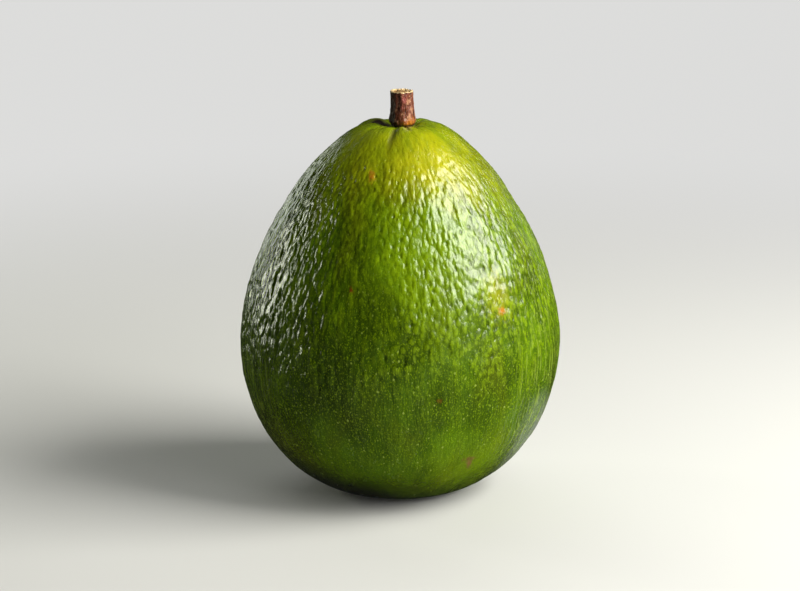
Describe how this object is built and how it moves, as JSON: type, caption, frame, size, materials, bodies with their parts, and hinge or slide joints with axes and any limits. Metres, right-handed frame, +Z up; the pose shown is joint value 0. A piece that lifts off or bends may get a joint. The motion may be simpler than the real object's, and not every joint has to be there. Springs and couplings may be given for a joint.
{
  "type": "whole avocado",
  "caption": "Whole green avocado with pebbled skin, standing on the small flat spot at its blossom end, with a short stub of woody stem in the hollow at its top.",
  "frame": {"origin": "on the table, under the middle of the fruit's box, in the plane of the flat spot that it stands on", "axes": "+Z up from the flat spot to the stem; -Y is the front, the side that the stem leans towards; +X is the right of the front view"},
  "size_m": [0.0742, 0.0738, 0.0942],
  "materials": {
    "skin": "glossy pebbled green fruit skin with small yellow-green pores",
    "stem_bark": "dry brown bark with a pale cut end"
  },
  "bodies": {
    "root": {"fruit": "skin", "stem": "stem_bark"}
  },
  "joints": []
}
